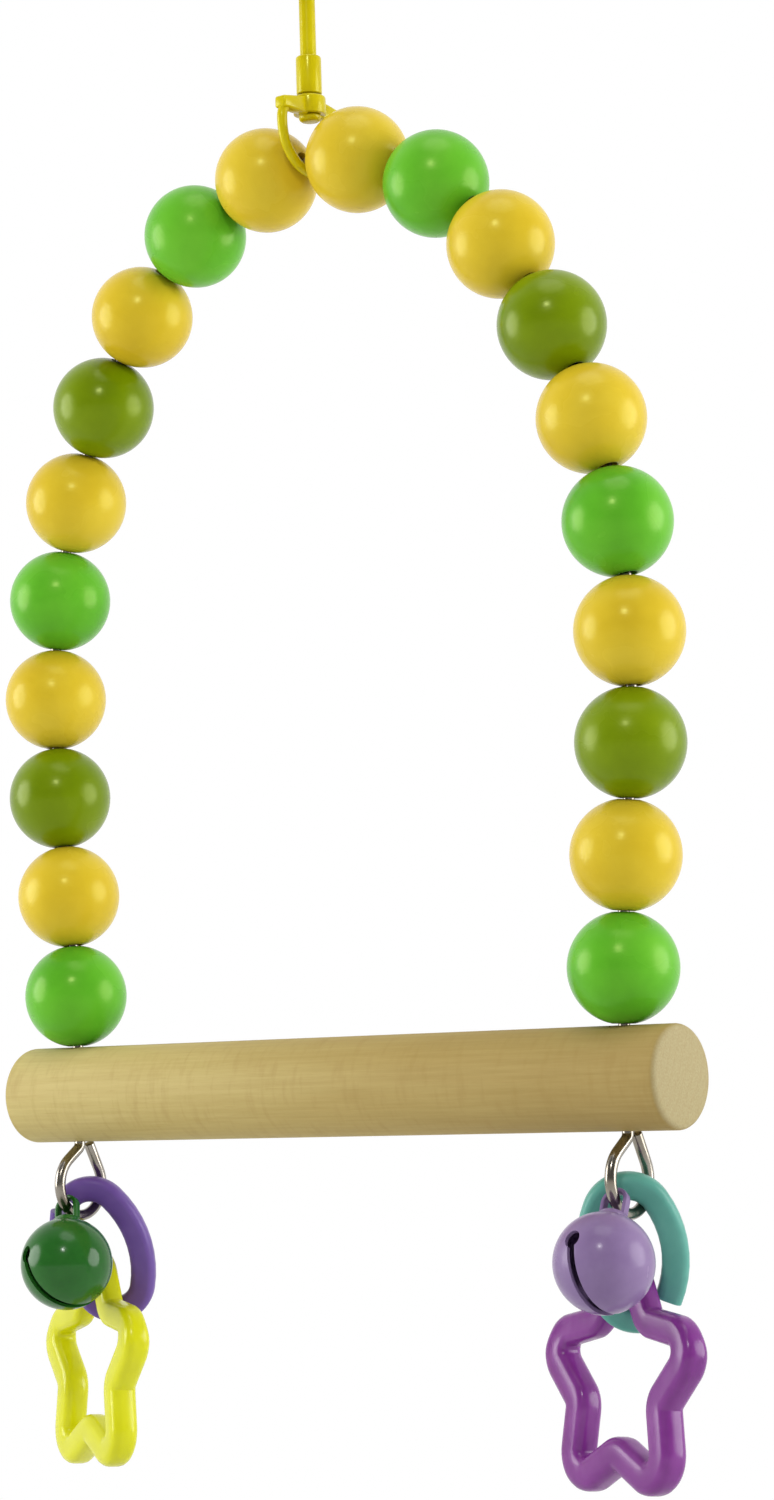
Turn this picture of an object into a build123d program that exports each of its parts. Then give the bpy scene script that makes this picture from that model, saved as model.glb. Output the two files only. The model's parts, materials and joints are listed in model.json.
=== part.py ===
from build123d import *
import os
from math import acos, atan, atan2, cos, degrees, pi, radians, sin, sqrt

os.makedirs("parts", exist_ok=True)

# Arch, beads and perch, in millimetres
arch_half_width = 70.3
shoulder_radius = 126.0
shoulder_angle = 40.0
wire_dia = 2.2
bead_dia = 20.0
bead_bore = 3.6
bead_gap = 0.3
beads_per_side = 10
perch_dia = 19.0
perch_length = 156.0
perch_overhang = 12.0
perch_edge = 0.8
snug_gap = 0.05

# Hook and swivel
hook_rod = 3.2
crook_radius = 8.0
neck_radius = 5.0
shank_length = 13.0
crook_end_angle = 15.0
barrel_wall = 0.9
barrel_length = 7.6
rod_seat = 3.0
pin_dia = 2.2
pin_seat = 3.0
swivel_gap = 0.4
running_gap = 0.08
boss_wall = 2.0
boss_height = 3.7
pin_head_height = 1.2
eye_band = 2.0
eye_half_width = 8.75
eye_corner = 3.0
eye_straight = 0.85
shoulder_step = 0.7
shoulder_rise = 1.6
hang_gap = 0.2
band_gap = 0.35

# Wire loop under each end of the perch
loop_radius = 6.15
loop_neck = 1.6
loop_angle = 55.0
loop_lead = 0.2
tail_side = 0.4
tail_gap = 0.3

# Open oval link, closed star and bell
link_half_width = 7.6
link_half_height = 12.8
link_end_radius = 5.9
link_strand = 5.0
link_thick = 4.0
link_bevel = 1.4
link_cut = 4.5
link_cut_angle = 50.0
star_tip_radius = 16.0
star_tip_round = 4.1
star_notch_radius = 13.2
star_notch_round = 3.4
star_strand = 5.4
star_thick = 4.6
star_bevel = 1.3
bell_dia = 18.2
bell_wall = 0.7
bell_slot = 1.6
bell_hole = 3.2
strap_thick = 0.8
strap_width = 1.6
strap_room = 0.8
strap_gap = 0.7
bell_drop = 12.5
pea_dia = 5.0

# How each hanging set rests, in degrees and millimetres
hanging = {
    "left": {
        "sign": -1,
        "link_at": 25.76, "link_yaw": 30.45, "link_lean": 12.97, "link_roll": -7.28, "link_slack": 1.08,
        "star_at": -26.81, "star_yaw": -25.97, "star_lean": -3.02, "star_roll": -2.61,
        "star_shift": -0.15, "star_rise": 10.71,
        "bell_at": 42.57, "bell_way": -50.81, "bell_lean": 30.41,
        "slot_way": 242.0, "cut_turn": 0.0,
    },
    "right": {
        "sign": 1,
        "link_at": 28.41, "link_yaw": 34.23, "link_lean": 18.69, "link_roll": 2.85, "link_slack": 0.96,
        "star_at": -22.89, "star_yaw": -20.79, "star_lean": -5.1, "star_roll": -1.9,
        "star_shift": -0.15, "star_rise": 11.35,
        "bell_at": 51.51, "bell_way": -76.79, "bell_lean": 33.75,
        "slot_way": 266.0, "cut_turn": 180.0,
    },
}

solids = {}


# Follow straight runs and bends in one plane, a positive bend turns toward side
def walk(start, heading, side, moves):
    point = Vector(start)
    ahead = Vector(heading)
    across = Vector(side)
    edges = []
    for move in moves:
        if len(move) == 1:
            end = point + ahead * move[0]
            edges.append(Edge.make_line(point, end))
            point = end
            continue
        radius = move[0]
        turn = radians(abs(move[1]))
        inner = across if move[1] > 0 else across * -1
        middle = point + inner * (radius * (1 - cos(turn / 2))) + ahead * (radius * sin(turn / 2))
        end = point + inner * (radius * (1 - cos(turn))) + ahead * (radius * sin(turn))
        edges.append(Edge.make_three_point_arc(point, middle, end))
        new_ahead = ahead * cos(turn) + inner * sin(turn)
        new_inner = inner * cos(turn) - ahead * sin(turn)
        across = new_inner if move[1] > 0 else new_inner * -1
        ahead = new_ahead
        point = end
    return edges


# Round rod along a path
def rod(edges, dia, start, heading):
    section = Plane(origin=start, z_dir=heading) * Circle(dia / 2)
    return sweep(section, path=Wire(edges))


def keep(name, shape):
    shape.label = name
    solids[name] = shape


# Heights down the swivel, measured from the seat of the hook
crook_z = -(crook_radius - hook_rod / 2)
neck_z = crook_z - sqrt(crook_radius ** 2 + 2 * neck_radius * crook_radius)
barrel_top = neck_z - shank_length
barrel_bottom = barrel_top - barrel_length
boss_top = barrel_bottom - swivel_gap
boss_bottom = boss_top - boss_height
pin_head_top = boss_bottom - swivel_gap / 2
eye_bar_z = boss_bottom + eye_band / 2
eye_bottom_z = eye_bar_z - eye_corner - eye_straight - eye_half_width
apex_z = eye_bottom_z + eye_band / 2 + hang_gap + wire_dia / 2

# Hook, a bent rod with an open crook
neck_turn = degrees(atan2(neck_z * -1 + crook_z, neck_radius))
rod_start = (0, 0, barrel_top - rod_seat)
hook_moves = [
    (shank_length + rod_seat,),
    (neck_radius, neck_turn),
    (crook_radius, -(180 + neck_turn + crook_end_angle)),
]
hook_edges = walk(rod_start, (0, 0, 1), (-1, 0, 0), hook_moves)
hook = rod(hook_edges, hook_rod, rod_start, (0, 0, 1))
hook_tip = hook_edges[-1] @ 1
hook = hook + Pos(hook_tip.X, hook_tip.Y, hook_tip.Z) * Sphere(hook_rod / 2)
keep("hook", hook)

# Barrel pressed on the rod, with the pin pressed in from below
barrel_dia = hook_rod + 2 * barrel_wall
barrel = Pos(0, 0, (barrel_top + barrel_bottom) / 2) * Cylinder(barrel_dia / 2, barrel_length)
barrel = chamfer(barrel.edges().group_by(Axis.Z)[-1], 0.5)
barrel = barrel - Pos(0, 0, barrel_top - rod_seat / 2) * Cylinder(hook_rod / 2, rod_seat)
barrel = barrel - Pos(0, 0, barrel_bottom + pin_seat / 2) * Cylinder(pin_dia / 2, pin_seat)
keep("swivel_barrel", barrel)

# Pin with a domed head under the boss
pin_top = barrel_bottom + pin_seat
pin_length = pin_top - pin_head_top
pin = Pos(0, 0, pin_top - pin_length / 2) * Cylinder(pin_dia / 2, pin_length)
head = Pos(0, 0, pin_head_top - pin_head_height / 2) * Cylinder(pin_dia, pin_head_height)
head = fillet(head.edges().group_by(Axis.Z)[0], pin_head_height * 0.7)
keep("swivel_pin", pin + head)

# Eye, a boss with sloping shoulders and a D ring
boss_dia = pin_dia + 2 * running_gap + 2 * boss_wall
boss = Pos(0, 0, (boss_top + boss_bottom) / 2) * Cylinder(boss_dia / 2, boss_height)
boss = fillet(boss.edges().group_by(Axis.Z)[-1], 0.6)
ring_half = [
    (eye_half_width - eye_corner,),
    (eye_corner, 90),
    (eye_straight,),
    (eye_half_width, 90),
]
eye_start = (0, 0, eye_bar_z)
ring_edges = walk(eye_start, (0, -1, 0), (0, 0, -1), ring_half)
ring = rod(ring_edges, eye_band, eye_start, (0, -1, 0))
shoulder_low = eye_half_width - eye_corner / 2
shoulder = Polyline(
    (-boss_dia / 2 + 0.4, boss_top - shoulder_step),
    (boss_dia / 2 - 0.4, boss_top - shoulder_step),
    (shoulder_low, eye_bar_z + shoulder_rise),
    (shoulder_low, eye_bar_z - eye_band * 0.2),
    (-shoulder_low, eye_bar_z - eye_band * 0.2),
    (-shoulder_low, eye_bar_z + shoulder_rise),
    close=True,
)
plate = extrude(Plane.YZ * make_face(shoulder), amount=eye_band * 0.65, both=True)
eye = boss + plate + ring + mirror(ring, Plane.XZ)
eye = eye - Pos(0, 0, (boss_top + boss_bottom) / 2) * Cylinder(pin_dia / 2 + running_gap, boss_height * 2)
keep("swivel_eye", eye)

# Shape of half the arch: crown, shoulder and a leg set in or out by an S bend
crown_radius = arch_half_width - shoulder_radius * (1 - cos(radians(shoulder_angle)))
crown_radius = crown_radius / cos(radians(shoulder_angle))
crown_drop = crown_radius * (1 - sin(radians(shoulder_angle)))
shoulder_drop = shoulder_radius * sin(radians(shoulder_angle))
foot_half_width = perch_length / 2 - perch_overhang
draw_in = arch_half_width - foot_half_width


def half_arch(leg):
    moves = [(crown_radius, 90 - shoulder_angle), (shoulder_radius, shoulder_angle)]
    if draw_in == 0:
        return moves + [(leg,)]
    leg_radius = (leg ** 2 + draw_in ** 2) / (4 * abs(draw_in))
    leg_turn = degrees(2 * atan(draw_in / leg))
    return moves + [(leg_radius, leg_turn), (leg_radius, -leg_turn)]


# Point on the half arch at a distance from the apex, as x and z
def arch_point(moves, distance):
    x = 0.0
    z = apex_z
    heading = 0.0
    left = distance
    for move in moves:
        if len(move) == 1:
            break
        radius, turn = move
        length = radius * radians(abs(turn))
        part = min(left, length)
        way = 1 if turn > 0 else -1
        angle = part / radius
        x += radius * (sin(heading + way * angle) - sin(heading)) * way
        z += radius * (cos(heading + way * angle) - cos(heading)) * way
        heading += way * angle
        left -= part
        if left <= 0:
            break
    return x + left * cos(heading), z - left * sin(heading)


# Bead on the wire, halfway between the wire and the chord of its bore
def bead_spot(moves, distance):
    reach = bead_dia / 2
    before = arch_point(moves, distance - reach)
    after = arch_point(moves, distance + reach)
    here = arch_point(moves, distance)
    x = (here[0] + (before[0] + after[0]) / 2) / 2
    z = (here[1] + (before[1] + after[1]) / 2) / 2
    return x, z, after[0] - before[0], after[1] - before[1]


def solve(rule, low, high):
    for step in range(60):
        middle = (low + high) / 2
        if rule(middle) > 0:
            high = middle
        else:
            low = middle
    return (low + high) / 2


def string_beads(moves):
    top_x = bead_dia / 2 + eye_band / 2 + band_gap
    spot = solve(lambda s: bead_spot(moves, s)[0] - top_x, bead_dia / 2, bead_dia)
    row = [bead_spot(moves, spot)]
    pitch = bead_dia + bead_gap
    for count in range(beads_per_side - 1):
        last = row[-1]

        def too_far(s):
            other = bead_spot(moves, s)
            return sqrt((other[0] - last[0]) ** 2 + (other[1] - last[1]) ** 2) - pitch

        spot = solve(too_far, spot, spot + 2 * pitch)
        row.append(bead_spot(moves, spot))
    return row


# Leg length that just holds the string of beads on the perch
def leg_over(leg):
    row = string_beads(half_arch(leg))
    foot = apex_z - crown_drop - shoulder_drop - leg
    return row[-1][1] - bead_dia / 2 - bead_gap - foot


leg_height = solve(leg_over, abs(draw_in), 6 * arch_half_width)
arch_moves = half_arch(leg_height)
bead_row = string_beads(arch_moves)
perch_top = apex_z - crown_drop - shoulder_drop - leg_height
perch_z = perch_top - perch_dia / 2
perch_low = perch_top - perch_dia

# Arch wire, one half swept and mirrored, with its stem and loop
neck_out = loop_neck * (1 - cos(radians(loop_angle)))
loop_run = (loop_radius * cos(radians(loop_angle)) - neck_out) / sin(radians(loop_angle))
neck_fall = loop_lead + loop_neck * sin(radians(loop_angle)) + loop_run * cos(radians(loop_angle))
loop_z = perch_low - neck_fall - loop_radius * sin(radians(loop_angle))
tail_out = wire_dia + tail_side
tail_rise = perch_low - tail_gap - loop_z
tail_far = sqrt(tail_out ** 2 + tail_rise ** 2)
tail_length = sqrt(tail_far ** 2 - loop_radius ** 2)
tail_angle = degrees(atan2(tail_rise, tail_out) - acos(loop_radius / tail_far))
loop_moves = [
    (perch_dia + loop_lead,),
    (loop_neck, loop_angle),
    (loop_run,),
    (loop_radius, -90 - loop_angle),
    (loop_radius, -90 - tail_angle),
    (tail_length,),
]
apex = (0, 0, apex_z)
wire_edges = walk(apex, (1, 0, 0), (0, 0, -1), arch_moves)
stem_top = (foot_half_width, 0, perch_top)
wire_edges += walk(stem_top, (0, 0, -1), (0, -1, 0), loop_moves)
wire_half = rod(wire_edges, wire_dia, apex, (1, 0, 0))
keep("arch_wire", wire_half + mirror(wire_half, Plane.YZ))

# Perch dowel with eased ends and two snug holes
perch = Pos(0, 0, perch_z) * Rot(0, 90, 0) * Cylinder(perch_dia / 2, perch_length)
perch = fillet(perch.edges().filter_by(GeomType.CIRCLE), perch_edge)
for sign in (-1, 1):
    hole = Cylinder(wire_dia / 2 + snug_gap, perch_dia * 1.5)
    perch = perch - Pos(sign * foot_half_width, 0, perch_z) * hole
keep("perch", perch)

# Beads, numbered from the perch up each side
bead_body = Sphere(bead_dia / 2) - Cylinder(bead_bore / 2, bead_dia * 1.2)
for name, sign in (("left", -1), ("right", 1)):
    for count, (x, z, along_x, along_z) in enumerate(reversed(bead_row)):
        spot = Plane(origin=(sign * x, 0, z), x_dir=(0, 1, 0), z_dir=(sign * along_x, 0, along_z))
        keep(f"bead_{name}_{count + 1:02d}", spot.location * bead_body)

# Flat outline of the oval, moved in or out from its centreline
link_rise = link_half_height - link_end_radius
link_inset = link_half_width - link_end_radius
link_side_radius = (link_rise ** 2 / link_inset + link_end_radius + link_half_width) / 2
link_side_x = link_side_radius - link_half_width
link_break = atan2(link_rise, link_side_x)


def arc_between(x, y, radius, start, end):
    spots = []
    for angle in (start, (start + end) / 2, end):
        spots.append((x + radius * cos(angle), y + radius * sin(angle)))
    return Edge.make_three_point_arc(*[Vector(px, py, 0) for px, py in spots])


def oval_face(grow):
    edges = [
        arc_between(-link_side_x, 0, link_side_radius + grow, -link_break, link_break),
        arc_between(0, link_rise, link_end_radius + grow, link_break, pi - link_break),
        arc_between(link_side_x, 0, link_side_radius + grow, pi - link_break, pi + link_break),
        arc_between(0, -link_rise, link_end_radius + grow, pi + link_break, 2 * pi - link_break),
    ]
    return make_face(edges)


# Open oval link with flat cut ends
link_flat = oval_face(link_strand / 2) - oval_face(-link_strand / 2)
cut_way = radians(90 + link_cut_angle)
cut_x = link_end_radius * cos(cut_way)
cut_y = link_rise + link_end_radius * sin(cut_way)
link_flat = link_flat - Pos(cut_x, cut_y) * Rot(0, 0, 90 + link_cut_angle) * Rectangle(link_strand * 1.6, link_cut)
link_body = extrude(link_flat, amount=link_thick / 2, both=True)
link_body = chamfer(link_body.edges().filter_by(GeomType.CIRCLE), link_bevel)


# Star outline, ten round corners joined by straight runs
def star_face(grow):
    corners = []
    for count in range(10):
        angle = pi / 2 + count * pi / 5
        tip = count % 2 == 0
        reach = star_tip_radius if tip else star_notch_radius + star_notch_round
        size = star_tip_round + grow if tip else -(star_notch_round - grow)
        corners.append((reach * cos(angle), reach * sin(angle), size))
    runs = []
    for count in range(10):
        x1, y1, r1 = corners[count]
        x2, y2, r2 = corners[(count + 1) % 10]
        far = sqrt((x2 - x1) ** 2 + (y2 - y1) ** 2)
        ux = (x2 - x1) / far
        uy = (y2 - y1) / far
        slope = (r2 - r1) / far
        level = sqrt(1 - slope ** 2)
        nx = slope * ux - level * uy
        ny = slope * uy + level * ux
        runs.append((x1 - r1 * nx, y1 - r1 * ny, x2 - r2 * nx, y2 - r2 * ny))
    edges = []
    for count in range(10):
        x, y, size = corners[count]
        into = runs[count - 1]
        away = runs[count]
        start = atan2(into[3] - y, into[2] - x)
        end = atan2(away[1] - y, away[0] - x)
        if size > 0 and end < start:
            end += 2 * pi
        if size < 0 and end > start:
            end -= 2 * pi
        edges.append(arc_between(x, y, abs(size), start, end))
        edges.append(Edge.make_line(Vector(away[0], away[1], 0), Vector(away[2], away[3], 0)))
    return make_face(edges)


star_flat = star_face(star_strand / 2) - star_face(-star_strand / 2)
star_body = extrude(star_flat, amount=star_thick / 2, both=True)
star_body = chamfer(star_body.edges().filter_by(Axis.Z, reverse=True), star_bevel)

# Bell strap in the bell's own frame, with its centre at zero and its loop up
strap_half = (wire_dia + 2 * strap_room) / 2
strap_top = bell_drop + wire_dia / 2 + strap_gap
strap_foot = sqrt((bell_dia / 2 - bell_wall) ** 2 - (strap_half + strap_thick) ** 2) - 0.4
arch_z = strap_top - strap_half
strap_outer = Pos(0, arch_z) * Circle(strap_half + strap_thick)
strap_outer += Pos(0, (arch_z + strap_foot) / 2) * Rectangle(2 * (strap_half + strap_thick), arch_z - strap_foot)
strap_inner = Pos(0, arch_z) * Circle(strap_half)
strap_inner += Pos(0, arch_z / 2) * Rectangle(2 * strap_half, arch_z)
strap_body = extrude(Plane.XZ * (strap_outer - strap_inner), amount=strap_width / 2, both=True)

# Place each hanging set under its end of the perch
places = {}
for name, rest in hanging.items():
    post_x = rest["sign"] * foot_half_width
    loop_centre = Vector(post_x, 0, loop_z)

    # Link on the bottom of the wire loop
    angle = radians(rest["link_at"])
    link_pivot = loop_centre + Vector(0, sin(angle), -cos(angle)) * loop_radius
    turn = Rot(0, 0, rest["link_yaw"]) * Rot(rest["link_lean"], 0, 0) * Rot(0, rest["link_roll"], 0)
    hang_rise = link_half_height - link_strand / 2 - wire_dia / 2 - rest["link_slack"]
    link_centre = link_pivot - (turn * Pos(0, 0, hang_rise)).position
    stand = Rot(90, 0, 0)
    link_place = Pos(link_centre.X, link_centre.Y, link_centre.Z) * turn * stand
    keep(f"link_{name}", link_place * Rot(0, 0, rest["cut_turn"]) * link_body)

    # Star on the bottom of the link
    angle = radians(rest["star_at"])
    low_x = link_end_radius * sin(angle)
    low_z = -link_rise - link_end_radius * cos(angle)
    star_pivot = link_centre + (turn * Pos(low_x, 0, low_z)).position
    turn = Rot(0, 0, rest["star_yaw"]) * Rot(rest["star_lean"], 0, 0) * Rot(0, rest["star_roll"], 0)
    star_centre = star_pivot - (turn * Pos(rest["star_shift"], 0, rest["star_rise"])).position
    star_place = Pos(star_centre.X, star_centre.Y, star_centre.Z) * turn * stand
    keep(f"star_{name}", star_place * star_body)

    # Bell on the front of the wire loop, leaning on the link
    angle = radians(rest["bell_at"])
    bell_pivot = loop_centre + Vector(0, -sin(angle), -cos(angle)) * loop_radius
    lean = radians(rest["bell_lean"])
    way = radians(rest["bell_way"])
    down = Vector(cos(way) * sin(lean), sin(way) * sin(lean), -cos(lean))
    bell_centre = bell_pivot + down * bell_drop
    strap_way = Vector(1, 0, 0) - down * down.X
    bell_plane = Plane(origin=bell_centre, x_dir=strap_way, z_dir=down * -1)
    keep(f"bell_loop_{name}", bell_plane.location * strap_body)
    shell = Sphere(bell_dia / 2) - Sphere(bell_dia / 2 - bell_wall)
    shell = bell_plane.location * shell
    slot_angle = radians(rest["slot_way"])
    slot_way = Vector(cos(slot_angle), sin(slot_angle), 0)
    slot_way = slot_way - down * slot_way.dot(down)
    slot_plane = Plane(origin=bell_centre, x_dir=slot_way, z_dir=down * -1)
    slot = Pos(0, 0, -bell_dia / 2) * Box(bell_dia * 1.5, bell_slot, bell_dia)
    slot += Rot(0, 90, 0) * Cylinder(bell_hole / 2, bell_dia * 1.5)
    shell = shell - slot_plane.location * slot - solids[f"bell_loop_{name}"]
    keep(f"bell_shell_{name}", shell)
    pea_reach = bell_dia / 2 - bell_wall - pea_dia / 2 - hang_gap
    keep(f"bell_pea_{name}", Pos(bell_centre.X, bell_centre.Y, bell_centre.Z - pea_reach) * Sphere(pea_dia / 2))
    places[name] = {
        "link_pivot": link_pivot, "link_centre": link_centre,
        "star_pivot": star_pivot, "star_centre": star_centre,
        "bell_pivot": bell_pivot, "bell_centre": bell_centre,
    }

# Write one file for each piece
for name, shape in solids.items():
    export_step(shape, f"parts/{name}.step")
    box = shape.bounding_box()
    print(name, len(shape.solids()), [round(v, 2) for v in (*box.min, *box.max)])
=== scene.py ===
import bpy
import bmesh
import json
from math import acos, atan, atan2, cos, degrees, pi, radians, sin, sqrt
from mathutils import Matrix, Vector


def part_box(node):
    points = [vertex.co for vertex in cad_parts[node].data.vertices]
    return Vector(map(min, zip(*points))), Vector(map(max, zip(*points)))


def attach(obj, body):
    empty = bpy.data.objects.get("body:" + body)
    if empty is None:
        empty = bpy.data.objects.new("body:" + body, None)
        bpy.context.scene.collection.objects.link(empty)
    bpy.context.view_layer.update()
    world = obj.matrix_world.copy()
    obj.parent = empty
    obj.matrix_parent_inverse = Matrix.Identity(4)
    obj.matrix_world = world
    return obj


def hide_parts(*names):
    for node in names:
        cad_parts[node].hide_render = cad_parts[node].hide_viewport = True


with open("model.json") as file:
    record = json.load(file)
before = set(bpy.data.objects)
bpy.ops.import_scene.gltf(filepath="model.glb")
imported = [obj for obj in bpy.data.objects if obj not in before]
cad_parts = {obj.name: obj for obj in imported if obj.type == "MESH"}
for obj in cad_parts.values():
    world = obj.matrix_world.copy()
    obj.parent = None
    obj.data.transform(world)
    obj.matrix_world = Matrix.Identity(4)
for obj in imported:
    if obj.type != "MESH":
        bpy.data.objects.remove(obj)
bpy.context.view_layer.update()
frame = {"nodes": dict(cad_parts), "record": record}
joints = {j["name"]: j for j in frame["record"]["behaviour"]["joints"]}
mm = 0.001
touch = {"weld": 1e-7, "same": 1e-6, "seam": 2e-6, "sliver": 1e-5}  # how near counts as one place, in metres
print("frame loaded:", len(frame["nodes"]), "nodes")


# colours are written in screen values, 0 to 255
def tint(red, green, blue):
    def straight(c):
        c = c / 255
        return c / 12.92 if c <= 0.04045 else ((c + 0.055) / 1.055) ** 2.4
    return (straight(red), straight(green), straight(blue), 1.0)


# one value in a node tree, with the sums written as sums
class Term:
    def __init__(self, tree, socket):
        self.tree = tree
        self.socket = socket

    def sum(self, operation, first, second):
        node = self.tree.nodes.new("ShaderNodeMath")
        node.operation = operation
        for place, value in enumerate((first, second)):
            if isinstance(value, Term):
                self.tree.links.new(value.socket, node.inputs[place])
            else:
                node.inputs[place].default_value = value
        return Term(self.tree, node.outputs[0])

    def __add__(self, other):
        return self.sum("ADD", self, other)

    def __radd__(self, other):
        return self.sum("ADD", other, self)

    def __sub__(self, other):
        return self.sum("SUBTRACT", self, other)

    def __rsub__(self, other):
        return self.sum("SUBTRACT", other, self)

    def __mul__(self, other):
        return self.sum("MULTIPLY", self, other)

    def __rmul__(self, other):
        return self.sum("MULTIPLY", other, self)

    def __pow__(self, other):
        return self.sum("POWER", self, other)


# a material under construction
class Finish:
    def __init__(self, name):
        self.material = bpy.data.materials.new(name)
        self.material.use_nodes = True
        self.tree = self.material.node_tree
        self.tree.nodes.clear()
        self.out = self.tree.nodes.new("ShaderNodeOutputMaterial")
        self.shader = self.tree.nodes.new("ShaderNodeBsdfPrincipled")
        self.tree.links.new(self.shader.outputs[0], self.out.inputs[0])
        self.place = self.node("ShaderNodeTexCoord", out="Object")

    def put(self, socket, value):
        if isinstance(value, Term):
            self.tree.links.new(value.socket, socket)
        else:
            socket.default_value = value

    # any node: its settings first, then its sockets by name or number, and one outlet or several
    def node(self, kind, settings=None, sockets=None, out=0):
        node = self.tree.nodes.new(kind)
        for key, value in (settings or {}).items():
            if key == "stops":
                ramp = node.color_ramp
                while len(ramp.elements) < len(value):
                    ramp.elements.new(0.5)
                for element, (position, colour) in zip(ramp.elements, value):
                    element.position = position
                    element.color = colour
            else:
                setattr(node, key, value)
        for key, value in (sockets or {}).items():
            self.put(node.inputs[key], value)
        if isinstance(out, tuple):
            return [Term(self.tree, node.outputs[which]) for which in out]
        return Term(self.tree, node.outputs[out])

    def set(self, sockets):
        for key, value in sockets.items():
            self.put(self.shader.inputs[key], value)

    def noise(self, scale, detail=3.0, rough=0.55):
        return self.node("ShaderNodeTexNoise", sockets={
            "Vector": self.place, "Scale": scale, "Detail": detail, "Roughness": rough})

    # noise drawn out by its own scale along each axis
    def drawnNoise(self, scales, detail=3.0, rough=0.55):
        where = self.node("ShaderNodeMapping", sockets={"Vector": self.place, "Scale": scales})
        return self.node("ShaderNodeTexNoise", sockets={
            "Vector": where, "Scale": 1.0, "Detail": detail, "Roughness": rough})

    def span(self, value, low, high, least=0.0, most=1.0):
        return self.node("ShaderNodeMapRange", {"clamp": True}, {
            "Value": value, "From Min": low, "From Max": high, "To Min": least, "To Max": most})

    def ramp(self, value, *stops):
        return self.node("ShaderNodeValToRGB", {"stops": stops}, {"Fac": value})

    # the sockets 6 and 7 of a Mix node are its two colours, and outlet 2 the mixed one
    def mix(self, share, first, second):
        return self.node("ShaderNodeMix", {"data_type": "RGBA"}, {
            "Factor": share, 6: first, 7: second}, out=2)

    def bump(self, height, strength, distance):
        return self.node("ShaderNodeBump", sockets={
            "Height": height, "Strength": strength, "Distance": distance})

    def split(self):
        return self.node("ShaderNodeSeparateXYZ", sockets={0: self.place}, out=(0, 1, 2))


whiteGlare = (1.0, 1.0, 1.0, 1.0)
warmGlare = (0.90, 1.0, 0.36, 1.0)  # shine on the yellow and green paints
beadGloss = {"cloud": 55.0, "fleck": 900.0, "flecks": 0.15, "peel": 420.0, "swell": 95.0, "lathe": 1400.0,
             "rough": (0.23, 0.30), "bump": 0.05, "depth": 0.6 * mm, "shine": 0.34}


# glossy paint on a turned wooden bead
def beadPaint(name, deep, plain, pale):
    paint = Finish(name)
    cloud = paint.noise(beadGloss["cloud"])
    fleck = paint.noise(beadGloss["fleck"], 2.0)
    tone = paint.ramp(cloud, (0.25, deep), (0.50, plain), (0.80, pale))
    tone = paint.mix(paint.span(fleck, 0.62, 0.78, 0.0, beadGloss["flecks"]), tone, pale)
    peel = paint.noise(beadGloss["peel"], 2.0, 0.4)
    swell = paint.noise(beadGloss["swell"], 1.0)
    along = paint.node("ShaderNodeAttribute", {"attribute_name": "along"}, out="Fac")
    lathe = paint.node("ShaderNodeTexNoise", {"noise_dimensions": "1D"}, {
        "W": along, "Scale": beadGloss["lathe"], "Detail": 2.0})
    height = peel + swell * 2.0 + lathe * 0.7
    paint.set({"Base Color": tone,
               "Roughness": paint.span(cloud, 0.3, 0.7, *beadGloss["rough"]),
               "Normal": paint.bump(height, beadGloss["bump"], beadGloss["depth"]),
               "Specular IOR Level": beadGloss["shine"],
               "Specular Tint": warmGlare})
    return paint.material


# the heart of the tree lies in front of the dowel and above it, lengths are in metres
grain = {"heartFront": 0.021, "heartUp": 0.013, "ring": 0.0021, "wander": 0.0045,
         "paleFrom": 0.05, "paleTo": -0.08, "paleRagged": 0.08, "endFrom": 0.0009, "endTo": 0.0002,
         "pores": 2600.0, "rough": (0.52, 0.66), "bump": 0.10, "depth": 0.4 * mm, "shine": 0.12}
# noise scales along the dowel and across it
grainScales = {"wander": (9.0, 60.0, 60.0), "streak": (55.0, 1500.0, 1500.0),
               "fibre": (240.0, 3600.0, 3600.0), "patch": (18.0, 70.0, 70.0),
               "chatter": (620.0, 150.0, 150.0)}
grainTones = {
    "heart": [(0.28, tint(161, 138, 81)), (0.50, tint(167, 144, 87)), (0.74, tint(173, 151, 93))],
    "paleTones": [(0.28, tint(193, 177, 113)), (0.74, tint(203, 188, 127))],
    "sawn": [(0.28, tint(162, 147, 105)), (0.55, tint(169, 156, 116)), (0.80, tint(175, 163, 124))],
    "ring": tint(158, 130, 72), "patch": tint(170, 143, 80), "fibre": tint(158, 130, 74),
    "chatter": tint(152, 124, 68), "sawnRing": tint(158, 134, 90)}


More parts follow.
